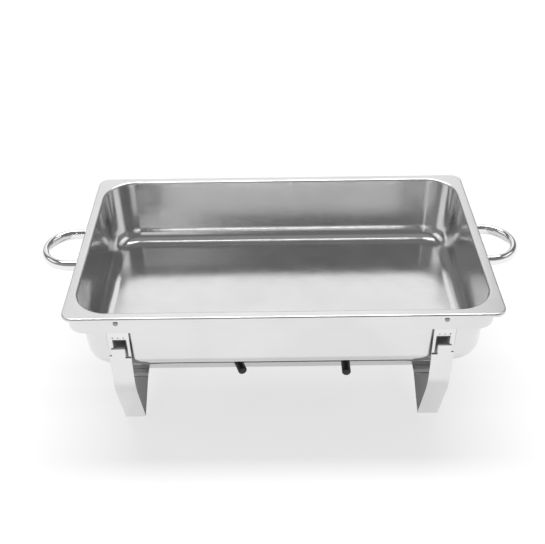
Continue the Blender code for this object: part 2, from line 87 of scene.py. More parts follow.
OUTER_SHOULDER_DROP = 0.0634
INNER_SHOULDER_DROP = 0.067
DOT_DROP = 0.0355
DOT_SPACING = 0.0065
DOT_RADIUS = 0.0010
LEG_BEND_DROP = 0.1185
LEG_BEND_RADIUS = 0.090
LEG_SLANT = math.radians(22.5)
FOOT_ROUND = 0.003
TAB_START_Y = 0.069
TAB_END_Y = 0.040
CROSS_HALF_LENGTH = 0.0665
SHELF_HALF_LENGTH = 0.2125
SHELF_HALF_WIDTH = 0.052
SHELF_TOP_DROP = 0.172
SHELF_SHEET = 0.0010
SHELF_LIP_DROP = 0.1809
SHELF_END_LIP_DROP = 0.1845
SHELF_BEND = 0.0018
LEFT_BURNER_X = -0.082
RIGHT_BURNER_X = 0.088
LEFT_BURNER_TURN = math.radians(19)
CUP_RADIUS = 0.0450
CUP_HEIGHT = 0.034
CUP_SHEET = 0.0008
LID_SKIRT = 0.007
LID_SHEET = 0.0008
FLAME_HOLE_RADIUS = 0.018
DAMPER_RADIUS = 0.0215
DAMPER_SHEET = 0.0010
DAMPER_PIVOT = 0.032
DAMPER_PIN_RADIUS = 0.0018
DAMPER_PIN_HEAD, DAMPER_PIN_TAIL = (0.0032, 0.0014), (0.003, 0.0008)  # radius and height
STEM_HEIGHT = 0.017
STEM_RADIUS = 0.0045
STEM_FLANGE_RADIUS = 0.007
SPIGOT_RADIUS = 0.0025
GRIP_START = 0.066
GRIP_END = 0.094
GRIP_RADIUS = 0.006

BAND_HALF_X = RIM_LENGTH / 2 - BAND_INSET
BAND_HALF_Y = RIM_WIDTH / 2 - BAND_INSET
BAND_INNER_Y = BAND_HALF_Y - BAND_SHEET
BRACKET_MID_Y = BAND_INNER_Y - GAP - BRACKET_SHEET / 2
LEG_MID_Y = BRACKET_MID_Y + BRACKET_SHEET / 2 + GAP + LEG_SHEET / 2
PIVOT_Z = RIM_HEIGHT - PIVOT_DROP
HANDLE_Z = RIM_HEIGHT - HANDLE_DROP
SHELF_LIP_Z = RIM_HEIGHT - SHELF_LIP_DROP
CROSS_TOP_Z = SHELF_LIP_Z - GAP
SHELF_TOP_Z = RIM_HEIGHT - SHELF_TOP_DROP
CUP_BASE_Z = SHELF_TOP_Z + GAP
SIDES = {"left": -1, "right": 1}
ENDS = {"front": -1, "rear": 1}
BAND_NODES = [f"rim_band_{place}" for place in (*ENDS, *SIDES)]
BAND_NODES += [f"rim_band_{side}_{end}" for side in SIDES for end in ENDS]


def height(drop):
    return RIM_HEIGHT - drop


# Camera, where the dish is seen from in front and above

CAMERA_PLACE = (-0.0080, -0.9503, 0.8592)
CAMERA_YAW, CAMERA_PITCH, CAMERA_ROLL = -0.002, 0.639, 0.014
CAMERA_LENS = 57.34


def add_camera():
    forward = Vector((
        math.sin(CAMERA_YAW) * math.cos(CAMERA_PITCH),
        math.cos(CAMERA_YAW) * math.cos(CAMERA_PITCH),
        -math.sin(CAMERA_PITCH),
    ))
    right = Vector((math.cos(CAMERA_YAW), -math.sin(CAMERA_YAW), 0))
    down = forward.cross(right)
    rolled_right = math.cos(CAMERA_ROLL) * right + math.sin(CAMERA_ROLL) * down
    rolled_down = math.cos(CAMERA_ROLL) * down - math.sin(CAMERA_ROLL) * right
    turn = Matrix((rolled_right, -rolled_down, -forward)).transposed()
    camera = bpy.data.objects.new("camera", bpy.data.cameras.new("camera"))
    camera.data.lens = CAMERA_LENS
    camera.data.sensor_width = 36
    camera.data.clip_end = 100
    camera.matrix_world = Matrix.Translation(CAMERA_PLACE) @ turn.to_4x4()
    bpy.context.scene.collection.objects.link(camera)
    bpy.context.scene.camera = camera


add_camera()


# Materials


class Nodes:
    """Short calls for building one shader."""

    def __init__(self, tree):
        self.tree = tree

    def add(self, kind, settings=(), **inputs):
        node = self.tree.nodes.new(kind)
        for key, value in dict(settings).items():
            setattr(node, key, value)
        for name, value in inputs.items():
            self.put(node.inputs[name.replace("_", " ")], value)
        return node

    def put(self, socket, value):
        if isinstance(value, bpy.types.NodeSocket):
            self.tree.links.new(value, socket)
        else:
            socket.default_value = value

    def math(self, operation, first, second=0.0, clamp=False):
        node = self.tree.nodes.new("ShaderNodeMath")
        node.operation = operation
        node.use_clamp = clamp
        self.put(node.inputs[0], first)
        self.put(node.inputs[1], second)
        return node.outputs[0]

    def ramp(self, value, low, high, out_low, out_high, smooth=True):
        node = self.tree.nodes.new("ShaderNodeMapRange")
        node.interpolation_type = "SMOOTHSTEP" if smooth else "LINEAR"
        numbers = (value, low, high, out_low, out_high)
        for name, number in zip(("Value", "From Min", "From Max", "To Min", "To Max"), numbers):
            self.put(node.inputs[name], number)
        return node.outputs[0]

    def noise(self, vector, scale, detail=2.0, rough=0.5, stretch=(1, 1, 1), distortion=0.0):
        mapped = self.add("ShaderNodeMapping", Vector=vector, Scale=stretch)
        made = self.add(
            "ShaderNodeTexNoise", Vector=mapped.outputs[0], Scale=scale, Detail=detail, Roughness=rough,
            Distortion=distortion,
        )
        return made.outputs["Fac"]

    def mix(self, factor, first, second):
        node = self.tree.nodes.new("ShaderNodeMix")
        node.data_type = "RGBA"
        self.put(node.inputs[0], factor)
        self.put(node.inputs[6], first)
        self.put(node.inputs[7], second)
        return node.outputs[2]

    def bump(self, height, distance, strength=1.0, normal=None):
        node = self.add("ShaderNodeBump", Height=height, Distance=distance, Strength=strength)
        if normal:
            self.put(node.inputs["Normal"], normal)
        return node.outputs[0]


def new_material(name):
    made = bpy.data.materials.new(name)
    made.use_nodes = True
    nodes = Nodes(made.node_tree)
    shader = made.node_tree.nodes["Principled BSDF"]
    place = nodes.add("ShaderNodeTexCoord").outputs["Object"]
    return made, nodes, shader, place


def steel(name, color, rough, rough_swing, grain, grain_depth, wave=0.0, wave_scale=9.0, local=None):
    """Stainless steel. grain stretches the fine scratch pattern (small numbers run along the
    scratches), and wave is the height of the slow unevenness of pressed sheet. local takes the
    nodes and the place and returns where the base colour is darkened as painted shade, how much
    rougher the steel is, and an extra height of its surface."""
    made, nodes, shader, place = new_material(name)
    shader.inputs["Metallic"].default_value = 1.0
    scratches = nodes.noise(place, 900, 3, 0.6, grain)
    smudges = nodes.noise(place, 38, 4, 0.62)
    blotches = nodes.noise(place, 7, 3, 0.5)
    painted_shade_and_unpolished, rougher, extra = local(nodes, place) if local else (None, None, None)
    mixed = nodes.math("ADD", nodes.math("MULTIPLY", scratches, 0.55), nodes.math("MULTIPLY", smudges, 0.45))
    roughness = nodes.ramp(mixed, 0.3, 0.7, rough - rough_swing, rough + rough_swing)
    if rougher:
        roughness = nodes.math("ADD", roughness, rougher)
    nodes.put(shader.inputs["Roughness"], roughness)
    tint = nodes.mix(nodes.ramp(blotches, 0.35, 0.7, 0, 1), (*color, 1), (*(c * 0.94 for c in color), 1))
    # Where the mask is set, the base colour falls to 0.42 of its tone: painted shade.
    if painted_shade_and_unpolished:
        tint = nodes.mix(painted_shade_and_unpolished, tint, (*(c * 0.42 for c in color), 1))
    nodes.put(shader.inputs["Base Color"], tint)
    normal = nodes.bump(scratches, grain_depth)
    if wave:
        slow = nodes.noise(place, wave_scale, 1.5, 0.4, (0.45, 1, 1.3))
        normal = nodes.bump(slow, wave, normal=normal)
    if extra:
        normal = nodes.bump(extra, 1.0, normal=normal)
    nodes.put(shader.inputs["Normal"], normal)
    return made


FLOOR_DISH_HALF = 0.08  # from the pan's middle line to where its floor stops rising
FLOOR_DISH_RISE = 0.0024


def pan_places(nodes, place):
    """The pan's unpolished underside, rougher and darkened with painted shade, its satin flange, and the
    slight dish of its floor.
    """
    _, y, z = nodes.add("ShaderNodeSeparateXYZ", Vector=place).outputs
    floor_level = RIM_HEIGHT - PAN_FLOOR_DROP
    # Below the floor's top: painted shade in the base colour, and a rougher unpolished finish.
    painted_shade_and_unpolished = nodes.ramp(z, floor_level - PAN_SHEET + 0.0001, floor_level - 0.0002, 1, 0)
    flange = nodes.ramp(z, RIM_HEIGHT - 0.0016, RIM_HEIGHT - 0.0006, 0, 0.16)
    rougher = nodes.math("ADD", flange, nodes.math("MULTIPLY", painted_shade_and_unpolished, 0.2))
    rise = nodes.ramp(nodes.math("ABSOLUTE", y), 0, FLOOR_DISH_HALF, 0, FLOOR_DISH_RISE)
    return painted_shade_and_unpolished, rougher, rise


# A painted shadow line along each bracket's outer edge, where it stands off the pan's wall.
SHADOW_LINE_WIDTH = 0.0007
SHADOW_LINE_FADE = (0.060, 0.055)  # the drops below the rim between which it fades out


def strip_places(nodes, place):
    """The inner side of the brackets and upper legs, darkened as painted shade, and a painted shadow line
    along each bracket's outer edge.
    """
    x, y, z = nodes.add("ShaderNodeSeparateXYZ", Vector=place).outputs
    # Painted shade on the inner side, in the recess between the brackets and the pan's wall.
    painted_inner_shade = nodes.math("LESS_THAN", nodes.math("ABSOLUTE", y), BRACKET_MID_Y - BRACKET_SHEET / 2 + 0.0003)
    painted_inner_shade = nodes.math("MULTIPLY", painted_inner_shade, nodes.ramp(z, 0.1, 0.12, 0, 1))
    outer_x = LEG_X + LEG_WIDTH / 2
    # Painted shadow line along the outer edge, fading out towards the lower end.
    edge = nodes.ramp(nodes.math("ABSOLUTE", x), outer_x - SHADOW_LINE_WIDTH, outer_x, 0, 1)
    wear_and_shadow_line = nodes.math("MULTIPLY", edge, nodes.ramp(z, *map(height, SHADOW_LINE_FADE), 0, 1))
    return nodes.math("MAXIMUM", painted_inner_shade, wear_and_shadow_line), None, None


ALONG_X = (0.03, 1.6, 1.6)
ALONG_Z = (1.6, 1.6, 0.03)
EVEN = (1, 1, 1)
SATIN = (0.76, 0.76, 0.76)
PAN_STEEL = steel("pan_satin_steel", SATIN, 0.17, 0.04, (0.12, 1, 1), 0.0000025, 0.002, 6, pan_places)
BAND_STEEL = steel("band_brushed_steel", SATIN, 0.2, 0.05, ALONG_X, 0.000006, 0.0008, 9)
STRIP_STEEL = steel(
    "strip_polished_steel", (0.8, 0.8, 0.8), 0.08, 0.03, ALONG_Z, 0.000002, 0.001, 14, strip_places
)
SHELF_STEEL = steel("shelf_satin_steel", (0.7, 0.7, 0.7), 0.2, 0.05, ALONG_X, 0.000005, 0.001, 9)
BRIGHT_STEEL = steel("bright_steel", (0.86, 0.86, 0.86), 0.05, 0.02, EVEN, 0.000001, 0.0002, 25)
RIVET_STEEL = steel("rivet_steel", (0.34, 0.34, 0.34), 0.28, 0.06, EVEN, 0.000003)
TURNED_STEEL = steel("turned_steel", SATIN, 0.16, 0.05, (1, 1, 1.6), 0.000003, 0.0003, 20)


def black_plastic():
    made, nodes, shader, place = new_material("black_phenolic_plastic")
    speckle = nodes.noise(place, 1500, 3, 0.6)
    scuffs = nodes.noise(place, 160, 5, 0.7, (1, 1, 0.3))
    wear_and_shadow_line = nodes.ramp(scuffs, 0.55, 0.75, 0, 1)
    tint = nodes.mix(wear_and_shadow_line, (0.010, 0.010, 0.010, 1), (0.022, 0.022, 0.021, 1))
    nodes.put(shader.inputs["Base Color"], tint)
    nodes.put(shader.inputs["Roughness"], nodes.ramp(scuffs, 0.35, 0.7, 0.28, 0.46))
    nodes.put(shader.inputs["Normal"], nodes.bump(speckle, 0.000012))
    return made


BLACK_PLASTIC = black_plastic()


# Mesh helpers


def finish_piece(name, source, look, body, replaced, matrix=None):
    """Makes an object of a bmesh or a mesh, gives it its material and ties it to its CAD body."""
    if isinstance(source, bmesh.types.BMesh):
        mesh = bpy.data.meshes.new(name)
        source.to_mesh(mesh)
        source.free()
    else:
        mesh = source
        mesh.name = name
    mesh.materials.clear()
    mesh.materials.append(look)
    mesh.shade_smooth()
    piece = bpy.data.objects.new(name, mesh)
    bpy.context.scene.collection.objects.link(piece)
    if matrix is not None:
        piece.matrix_world = matrix
    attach(piece, body)
    if replaced:
        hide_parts(*replaced)
    return piece


def thicken(piece, thickness, offset):
    solidify = piece.modifiers.new("sheet", "SOLIDIFY")
    solidify.thickness = thickness
    solidify.offset = offset
    solidify.use_even_offset = True


def soften(piece, width=0.0002, segments=2, angle=40):
    """Rounds the sharp edges and shades each flat face flat."""
    bevel = piece.modifiers.new("edges", "BEVEL")
    bevel.width = width
    bevel.segments = segments
    bevel.limit_method = "ANGLE"
    bevel.angle_limit = math.radians(angle)
    even_shading(piece)


def even_shading(piece):
    weighted = piece.modifiers.new("shading", "WEIGHTED_NORMAL")
    weighted.keep_sharp = True


def rounded_ring(half_x, half_y, corner, z, steps=20):
    """Points round a rectangle with round corners, anticlockwise from above."""
    points = []
    for quarter, (sign_x, sign_y) in enumerate([(1, 1), (-1, 1), (-1, -1), (1, -1)]):
        for step in range(steps + 1):
            angle = math.pi / 2 * (quarter + step / steps)
            x = sign_x * (half_x - corner) + corner * math.cos(angle)
            y = sign_y * (half_y - corner) + corner * math.sin(angle)
            points.append((x, y, z))
    return points


def loft(rings, close_last=False, close_first=False):
    bm = bmesh.new()
    rows = [[bm.verts.new(point) for point in ring] for ring in rings]
    for upper, lower in zip(rows, rows[1:]):
        count = len(upper)
        for i in range(count):
            j = (i + 1) % count
            bm.faces.new([upper[i], upper[j], lower[j], lower[i]])
    if close_last:
        bm.faces.new(rows[-1])
    if close_first:
        bm.faces.new(rows[0][::-1])
    return bm


def rounded_path(corners, step_angle=math.radians(4)):
    """Points along a polyline of (a, b, radius) corners, each corner with a radius made an arc."""
    points = []
    for i, (a, b, radius) in enumerate(corners):
        here = Vector((a, b))
        if not radius:
            points.append(here)
            continue
        back = (Vector(corners[i - 1][:2]) - here).normalized()
        ahead = (Vector(corners[i + 1][:2]) - here).normalized()
        half = back.angle(ahead) / 2
        centre = here + (back + ahead).normalized() * radius / math.sin(half)
        start = here + back * radius / math.tan(half) - centre
        sweep = start.angle_signed(here + ahead * radius / math.tan(half) - centre)
        steps = max(3, round(abs(sweep) / step_angle))
        for step in range(steps + 1):
            points.append(centre + Matrix.Rotation(-sweep * step / steps, 2) @ start)
    return points


def circle(x, y, radius, steps=28):
    turns = [2 * math.pi * step / steps for step in range(steps)]
    return [(x + radius * math.cos(turn), y + radius * math.sin(turn)) for turn in turns]


def plate_mesh(outlines, thickness, edge):
    """A flat plate in XY with small round edges, its first outline the rim and the others holes."""
    curve = bpy.data.curves.new("plate", "CURVE")
    curve.dimensions = "2D"
    curve.fill_mode = "BOTH"
    curve.extrude = thickness / 2 - edge
    curve.bevel_depth = edge
    curve.bevel_resolution = 1
    curve.offset = -edge
    for outline in outlines:
        spline = curve.splines.new("POLY")
        spline.points.add(len(outline) - 1)
        for point, (x, y) in zip(spline.points, outline):
            point.co = (x, y, 0, 1)
        spline.use_cyclic_u = True
    holder = bpy.data.objects.new("plate", curve)
    bpy.context.scene.collection.objects.link(holder)
    bpy.context.view_layer.update()
    graph = bpy.context.evaluated_depsgraph_get()
    mesh = bpy.data.meshes.new_from_object(holder.evaluated_get(graph))
    bpy.data.objects.remove(holder)
    bm = bmesh.new()
    bm.from_mesh(mesh)
    bmesh.ops.remove_doubles(bm, verts=bm.verts, dist=0.000002)
    bmesh.ops.recalc_face_normals(bm, faces=bm.faces)
    bm.to_mesh(mesh)
    bm.free()
    return mesh


def turned(profile, closed=False, steps=96):
    """A bmesh turned about Z from (radius, z) points that run down its outer side."""
    bm = bmesh.new()
    verts = [bm.verts.new((radius, 0, z)) for radius, z in profile]
    edges = [bm.edges.new(pair) for pair in zip(verts, verts[1:] + (verts[:1] if closed else []))]
    bmesh.ops.spin(
        bm, geom=verts + edges, cent=(0, 0, 0), axis=(0, 0, 1), angle=2 * math.pi, steps=steps,
        use_merge=True,
    )
    bmesh.ops.remove_doubles(bm, verts=bm.verts, dist=0.000001)
    bmesh.ops.dissolve_degenerate(bm, edges=bm.edges, dist=0.0000005)
    bmesh.ops.recalc_face_normals(bm, faces=bm.faces)
    return bm


def arc(radius, z, size, start, end, steps):
    """(radius, z) points of an arc of the given size round (radius, z), angles in degrees."""
    points = []
    for step in range(steps + 1):
        angle = math.radians(start + (end - start) * step / steps)
        points.append((radius + size * math.cos(angle), z + size * math.sin(angle)))
    return points


# Water pan


def pan_sections():
    """(inset from the rim's edge, drop, corner radius) from the lip's edge to the floor's edge."""
    sections = [(0, LIP_DROP, RIM_CORNER), (0, LIP_DROP - 0.0004, RIM_CORNER)]
    for step in range(7):
        angle = math.pi / 2 * step / 6
        inset = RIM_EDGE_ROUND * (1 - math.cos(angle))
        sections.append((inset, RIM_EDGE_ROUND * (1 - math.sin(angle)), RIM_CORNER - inset))
    profile = []
    for step in range(9):
        angle = math.pi / 2 * step / 8
        inset = MOUTH_INSET - MOUTH_ROUND * (1 - math.sin(angle))
        profile.append((inset, MOUTH_ROUND * (1 - math.cos(angle))))
    round_drop = PAN_FLOOR_DROP - FLOOR_ROUND
    wall_end_drop = round_drop + FLOOR_ROUND * math.sin(WALL_DRAFT)
    round_inset = (
        MOUTH_INSET
        + (wall_end_drop - MOUTH_ROUND) * math.tan(WALL_DRAFT)
        + FLOOR_ROUND * math.cos(WALL_DRAFT)
    )
    for step in range(19):
        angle = WALL_DRAFT + (math.pi / 2 - WALL_DRAFT) * step / 18
        inset = round_inset - FLOOR_ROUND * math.cos(angle)
        profile.append((inset, round_drop + FLOOR_ROUND * math.sin(angle)))
    for inset, drop in profile:
        sections.append((inset, drop, MOUTH_CORNER - (inset - MOUTH_INSET)))
    return sections


def water_pan():
    rings = [
        rounded_ring(RIM_LENGTH / 2 - inset, RIM_WIDTH / 2 - inset, corner, RIM_HEIGHT - drop)
        for inset, drop, corner in pan_sections()
    ]
    bm = loft(rings, close_last=True)
    pan = finish_piece(
        "water_pan_shell", bm, PAN_STEEL, "pan", ["water_pan"],
        Matrix.Translation((PAN_X, 0, 0)),
    )
    thicken(pan, PAN_SHEET, -1)
    soften(pan, 0.00015)


# Band and handles


def rim_band():
    top = RIM_HEIGHT - BAND_TOP_DROP
    rings = [rounded_ring(BAND_HALF_X, BAND_HALF_Y, BAND_CORNER, z) for z in (top - BAND_DEPTH, top)]
    band = finish_piece(
        "rim_band_shell", loft(rings), BAND_STEEL, "frame", BAND_NODES
    )
    thicken(band, BAND_SHEET, -1)
    soften(band, 0.0003)


def oval(width, height, steps=32):
    return [(width / 2 * x, height / 2 * y) for x, y in circle(0, 0, 1, steps)]


def handle_route():
    """(distance out from the band, distance across, heading) along the D of the handle."""
    root = BAND_HALF_X + GAP
    bend_x = root + HANDLE_STRAIGHT
    route = [(root, -HANDLE_HALF_SPACING, 0)]
    steps = 40
    for step in range(steps + 1):
        angle = math.pi * (step / steps - 0.5)
        across = HANDLE_HALF_SPACING * math.sin(angle)
        route.append((bend_x + HANDLE_HALF_SPACING * math.cos(angle), across, angle + math.pi / 2))
    route.append((root, HANDLE_HALF_SPACING, math.pi))
    return route


def handle(side, sign):
    rings = []
    route = handle_route()
    section = oval(HANDLE_THICKNESS, HANDLE_HEIGHT)
    bore = [(HANDLE_SCREW_RADIUS + GAP) * 2] * 2

    def ring(x, y, heading, outline):
        points = []
        for across, up in outline:
            out_x = x + across * math.sin(heading)
            out_y = y - across * math.cos(heading)
            points.append((sign * out_x, out_y, HANDLE_Z + up))
        return points

    first, last = route[0], route[-1]
    hole = oval(*bore)
    deep = HANDLE_SCREW_BITE + GAP
    rings.append(ring(first[0] + deep, first[1], first[2], hole))
    rings.append(ring(*first, hole))
    for x, y, heading in route:
        rings.append(ring(x, y, heading, section))
    rings.append(ring(*last, hole))
    rings.append(ring(last[0] + deep, last[1], last[2], hole))
    bm = loft(rings, close_last=True, close_first=True)
    bmesh.ops.recalc_face_normals(bm, faces=bm.faces)
    rod = finish_piece(
        f"{side}_handle_bar", bm, BRIGHT_STEEL, "frame", [f"{side}_handle"]
    )
    rod.data.set_sharp_from_angle(angle=math.radians(50))


# Leg units. Each X is measured from the leg's own middle line, each drop from the rim's top.

BRACKET_CORNER_RADIUS = 0.004
BRACKET_SHOULDER = 0.0085  # below the pivot, where the rounded top meets the straight sides
NOTCH_X, NOTCH_END_DROP = 0.0108, 0.064
WINDOW_INNER_X, WINDOW_OUTER_X = -0.0101, 0.0071
SLOT_X, SLOT_END_DROP = -0.0068, 0.068
TONGUE_INNER_X, TONGUE_OUTER_X = -0.0063, 0.0100
HOOK_OUTER_X = 0.0068
HOOK_CLEARANCE = 0.0004
HOOK_REACH = 0.0008  # past the bracket's middle plane
HOOK_BEND_RADIUS = 0.0010
FOOT_RETURN_RADIUS = 0.006


def bracket_outline():
    half = LEG_WIDTH / 2
    points = []
    for step in range(25):
        angle = math.pi * step / 24
        points.append(
            (BRACKET_TOP_RADIUS * math.cos(angle), PIVOT_Z + BRACKET_TOP_RADIUS * math.sin(angle))
        )
    foot = height(BRACKET_END_DROP)
    corner = BRACKET_CORNER_RADIUS
    points.append((-half, PIVOT_Z - BRACKET_SHOULDER))
    for step in range(7):
        angle = math.pi + math.pi / 2 * step / 6
        points.append((corner - half + corner * math.cos(angle), foot + corner + corner * math.sin(angle)))
    for step in range(7):
        angle = 1.5 * math.pi + math.pi / 2 * step / 6
        points.append((half - corner + corner * math.cos(angle), foot + corner + corner * math.sin(angle)))
    points += [(half, height(NOTCH_END_DROP)), (NOTCH_X, height(NOTCH_END_DROP))]
    points += [(NOTCH_X, height(WINDOW_END_DROP)), (half, height(WINDOW_END_DROP))]
    points.append((half, PIVOT_Z - BRACKET_SHOULDER))
    return points


def window_outline():
    """An L: a window above the leg's tongue, and a slot down the tongue's inner side."""
    inner, outer = WINDOW_INNER_X, WINDOW_OUTER_X
    top, end, slot_end = height(WINDOW_TOP_DROP), height(WINDOW_END_DROP), height(SLOT_END_DROP)
    return [(outer, top), (inner, top), (inner, slot_end), (SLOT_X, slot_end), (SLOT_X, end), (outer, end)]


def bracket(side, sign, end, end_sign):
    outlines = [bracket_outline(), window_outline(), circle(0, PIVOT_Z, PIVOT_RADIUS + GAP)]
    for step in (-1, 0, 1):
        outlines.append(circle(step * DOT_SPACING, height(DOT_DROP), DOT_RADIUS, 14))
    outlines = [[(sign * x, z) for x, z in outline] for outline in outlines]
    mesh = plate_mesh(outlines, BRACKET_SHEET, 0.00012)
    mesh.transform(Matrix.Rotation(math.pi / 2, 4, "X"))
    mesh.transform(Matrix.Translation((sign * LEG_X, end_sign * BRACKET_MID_Y, 0)))
    plate = finish_piece(
        f"{side}_{end}_bracket_plate", mesh, STRIP_STEEL, f"{side}_legs", [f"{side}_{end}_bracket"],
    )
    plate.data.set_sharp_from_angle(angle=math.radians(50))
    even_shading(plate)


def foot_corner_z(slant_up, return_up):
    half = slant_up.angle(return_up) / 2
    bisector = (slant_up.normalized() + return_up.normalized()).normalized()
    return LEG_SHEET / 2 + FOOT_ROUND - bisector.y * FOOT_ROUND / math.sin(half)


def leg_path():
    """(distance from the middle plane, z) along the middle of the strip."""
    hook_z = height(WINDOW_END_DROP) + HOOK_CLEARANCE + LEG_SHEET / 2
    bend_z = height(LEG_BEND_DROP)
    tab_z = CROSS_TOP_Z - LEG_SHEET - GAP - LEG_SHEET / 2
    foot_y = LEG_MID_Y - bend_z * math.tan(LEG_SLANT)
    slant_up = Vector((LEG_MID_Y - foot_y, bend_z))
    return_up = Vector((TAB_START_Y - foot_y, tab_z))
    foot_z = foot_corner_z(slant_up, return_up)
    return rounded_path([
        (BRACKET_MID_Y - HOOK_REACH, hook_z, 0),
        (LEG_MID_Y, hook_z, HOOK_BEND_RADIUS),
        (LEG_MID_Y, height(OUTER_SHOULDER_DROP), 0),
        (LEG_MID_Y, height(INNER_SHOULDER_DROP), 0),
        (LEG_MID_Y, bend_z, LEG_BEND_RADIUS),
        (foot_y, foot_z, FOOT_ROUND),
        (TAB_START_Y, tab_z, FOOT_RETURN_RADIUS),
        (TAB_END_Y, tab_z, 0),
    ])


def leg(side, sign, end, end_sign):
    half = LEG_WIDTH / 2
    columns = [-half, TONGUE_INNER_X, HOOK_OUTER_X, TONGUE_OUTER_X, half]
    rows = leg_path()
    bm = bmesh.new()
    grid = [[bm.verts.new((sign * (LEG_X + x), end_sign * y, z)) for x in columns] for y, z in rows]
    for i in range(len(rows) - 1):
        middle_z = (rows[i][1] + rows[i + 1][1]) / 2
        middle_y = (rows[i][0] + rows[i + 1][0]) / 2
        on_hook = middle_z > height(WINDOW_END_DROP) and middle_y < LEG_MID_Y - 0.0001
        starts = [INNER_SHOULDER_DROP, 0, 0, OUTER_SHOULDER_DROP]
        for column, start_drop in enumerate(starts):
            if middle_z > height(start_drop) or (on_hook and column == 2):
                continue
            corners = [grid[i][column], grid[i][column + 1]]
            bm.faces.new(corners + [grid[i + 1][column + 1], grid[i + 1][column]])
    bmesh.ops.delete(bm, geom=[v for v in bm.verts if not v.link_faces], context="VERTS")
    bmesh.ops.recalc_face_normals(bm, faces=bm.faces)
    strip = finish_piece(
        f"{side}_{end}_leg_strip", bm, STRIP_STEEL, f"{side}_legs", [f"{side}_{end}_leg"],
    )
    thicken(strip, LEG_SHEET, 0)
    soften(strip, 0.0003, 3)


def cross_strip(side, sign):
    x, y, round_by = LEG_WIDTH / 2, CROSS_HALF_LENGTH, 0.0015
    outline = [point[:2] for point in rounded_ring(x, y, round_by, 0, 6)]
    mesh = plate_mesh([outline], LEG_SHEET, 0.00025)
    mesh.transform(Matrix.Translation((sign * LEG_X, 0, CROSS_TOP_Z - LEG_SHEET / 2)))
    strip = finish_piece(
        f"{side}_cross_plate", mesh, STRIP_STEEL, f"{side}_legs", [f"{side}_cross_strip"]
    )
    even_shading(strip)


def domed_pin(head_radius, head, shank_radius, shank, tail_radius=0, tail=0):
    """A pin with a domed head: its head's underside at 0, its shank below, then a peened tail."""
    steps = 8
    profile = []
    for step in range(steps + 1):
        angle = math.pi / 2 * step / steps
        profile.append((head_radius * math.sin(angle), head * (0.25 + 0.75 * math.cos(angle))))
    profile += [(head_radius, 0), (shank_radius, 0), (shank_radius, -shank)]
    if tail:
        profile += [(tail_radius, -shank), (tail_radius, -shank - tail * 0.5)]
        profile += [(tail_radius * 0.6, -shank - tail)]
    profile.append((0, -shank - tail))
    return turned(profile, steps=40)


def sharpen(piece, angle=42):
    piece.data.set_sharp_from_angle(angle=math.radians(angle))


def pivot_rivet(side, sign, end, end_sign):
    shank = BAND_HALF_Y + GAP - (BRACKET_MID_Y - BRACKET_SHEET / 2 - GAP)
    place = Matrix.Translation((sign * LEG_X, end_sign * (BAND_HALF_Y + GAP), PIVOT_Z))
    turn = Matrix.Rotation(-end_sign * math.pi / 2, 4, "X")
    rivet = finish_piece(
        f"{side}_{end}_domed_rivet", domed_pin(*PIVOT_HEAD, PIVOT_RADIUS, shank, *PIVOT_TAIL),
        RIVET_STEEL, "frame", [f"{side}_{end}_pivot_rivet"], place @ turn,
    )
    sharpen(rivet)


# Shelf


def fuel_shelf():
    """A plate with its four edges bent down, open at the corners, and deeper lips at the ends."""
    x, y = SHELF_HALF_LENGTH - SHELF_BEND, SHELF_HALF_WIDTH - SHELF_BEND
    relief = 0.0012
    bm = bmesh.new()
    signs = [(1, 1), (-1, 1), (-1, -1), (1, -1)]
    top = [bm.verts.new((sx * x, sy * y, SHELF_TOP_Z)) for sx, sy in signs]
    bm.faces.new(top)
    for i in range(4):
        first, second = top[i], top[(i + 1) % 4]
        along_x = i % 2 == 0
        outward = Vector((0, signs[i][1], 0)) if along_x else Vector((signs[(i + 1) % 4][0], 0, 0))
        low_z = SHELF_LIP_Z if along_x else height(SHELF_END_LIP_DROP)
        rows = [(first, second)]
        for step in range(1, 7):
            angle = math.pi / 2 * step / 6
            shift = outward * SHELF_BEND * math.sin(angle)
            shift.z = -SHELF_BEND * (1 - math.cos(angle))
            rows.append([bm.verts.new(v.co + shift) for v in (first, second)])
        low = []
        for vert in rows[-1]:
            inward = Vector((-math.copysign(relief, vert.co.x), 0, 0))
            if not along_x:
                inward = Vector((0, -math.copysign(relief, vert.co.y), 0))
            low.append(bm.verts.new(Vector((vert.co.x, vert.co.y, low_z)) + inward))
        rows.append(low)
        for (a, b), (c, d) in zip(rows, rows[1:]):
            bm.faces.new([b, a, c, d])
    shelf = finish_piece("fuel_shelf_tray", bm, SHELF_STEEL, "shelf", ["fuel_shelf"])
    thicken(shelf, SHELF_SHEET, -1)
    soften(shelf, 0.0002)


# Burners


def cup_profile():
    inner = CUP_RADIUS - CUP_SHEET
    base, lip = 0.004, 0.0002
    profile = [(0, CUP_SHEET)]
    profile += arc(inner - base, CUP_SHEET + base, base, -90, 0, 8)
    profile += [(inner, CUP_HEIGHT - lip), (inner + lip, CUP_HEIGHT)]
    profile += [(CUP_RADIUS - lip, CUP_HEIGHT), (CUP_RADIUS, CUP_HEIGHT - lip)]
    profile += arc(CUP_RADIUS - base, base, base, 0, -90, 8)
    profile.append((0, 0))
    return profile


def lid_profile():
    outer = CUP_RADIUS + GAP + LID_SHEET
    top = CUP_HEIGHT + GAP + LID_SHEET
    under = top - LID_SHEET
    foot = top - LID_SKIRT
    bead, shoulder = 0.0003, 0.0014
    groove = zip((0.0385, 0.0388, 0.0394, 0.0397), (top, top - bead, top - bead, top))
    return (
        [(FLAME_HOLE_RADIUS, top - bead), (FLAME_HOLE_RADIUS + bead, top)]
        + list(groove)
        + arc(outer - shoulder, top - shoulder, shoulder, 90, 0, 8)
        + [(outer, foot), (outer - LID_SHEET, foot), (outer - LID_SHEET, under), (FLAME_HOLE_RADIUS, under)]
    )


